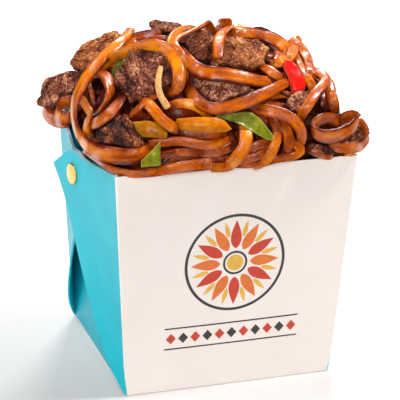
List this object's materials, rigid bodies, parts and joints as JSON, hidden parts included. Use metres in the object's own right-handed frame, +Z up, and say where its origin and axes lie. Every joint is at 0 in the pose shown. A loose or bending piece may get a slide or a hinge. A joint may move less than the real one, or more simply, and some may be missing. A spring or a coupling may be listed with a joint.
{
  "type": "noodle takeaway box",
  "caption": "Open folded card pail with corner webs and side studs, heaped with broad glazed noodles, seared beef slices and pepper strips.",
  "frame": {"origin": "middle of the pail's base, on its underside", "axes": "+Z up out of the open top; -Y out of the printed front panel; -X and +X out of the two sides with the studs"},
  "size_m": [0.1326, 0.1069, 0.1562],
  "materials": {
    "card": "coated folding card, white inside and on the front and back, turquoise print on the sides",
    "stud": "polished brass, lightly domed",
    "noodle": "boiled wheat noodle in a glossy soy glaze",
    "beef": "seared beef, coarse fibres, moist",
    "red_pepper": "stir-fried red pepper skin, wet gloss",
    "yellow_pepper": "stir-fried yellow pepper, glazed",
    "green_pepper": "stir-fried green pepper and spring onion leaf, glazed",
    "sprout": "bean sprout, translucent and glazed"
  },
  "bodies": {
    "root": {"carton": "card", "stud_left": "stud", "stud_right": "stud", "pepper_red": "red_pepper", "pepper_red_far": "red_pepper", "pepper_yellow_left": "yellow_pepper", "pepper_yellow": "yellow_pepper", "pepper_green_back": "green_pepper", "pepper_green_front": "green_pepper", "pepper_green_leaf": "green_pepper", "pepper_green_far": "green_pepper", "sprout": "sprout", "noodles": "noodle", "beef_rear_left": "beef", "beef_left": "beef", "beef_low_left": "beef", "beef_large": "beef", "beef_top": "beef", "beef_crown": "beef", "beef_curl": "beef", "beef_centre": "beef", "beef_right": "beef", "beef_in_ring": "beef", "beef_low_right": "beef", "beef_far_right": "beef", "beef_far_back": "beef", "beef_far_corner": "beef"}
  },
  "joints": []
}
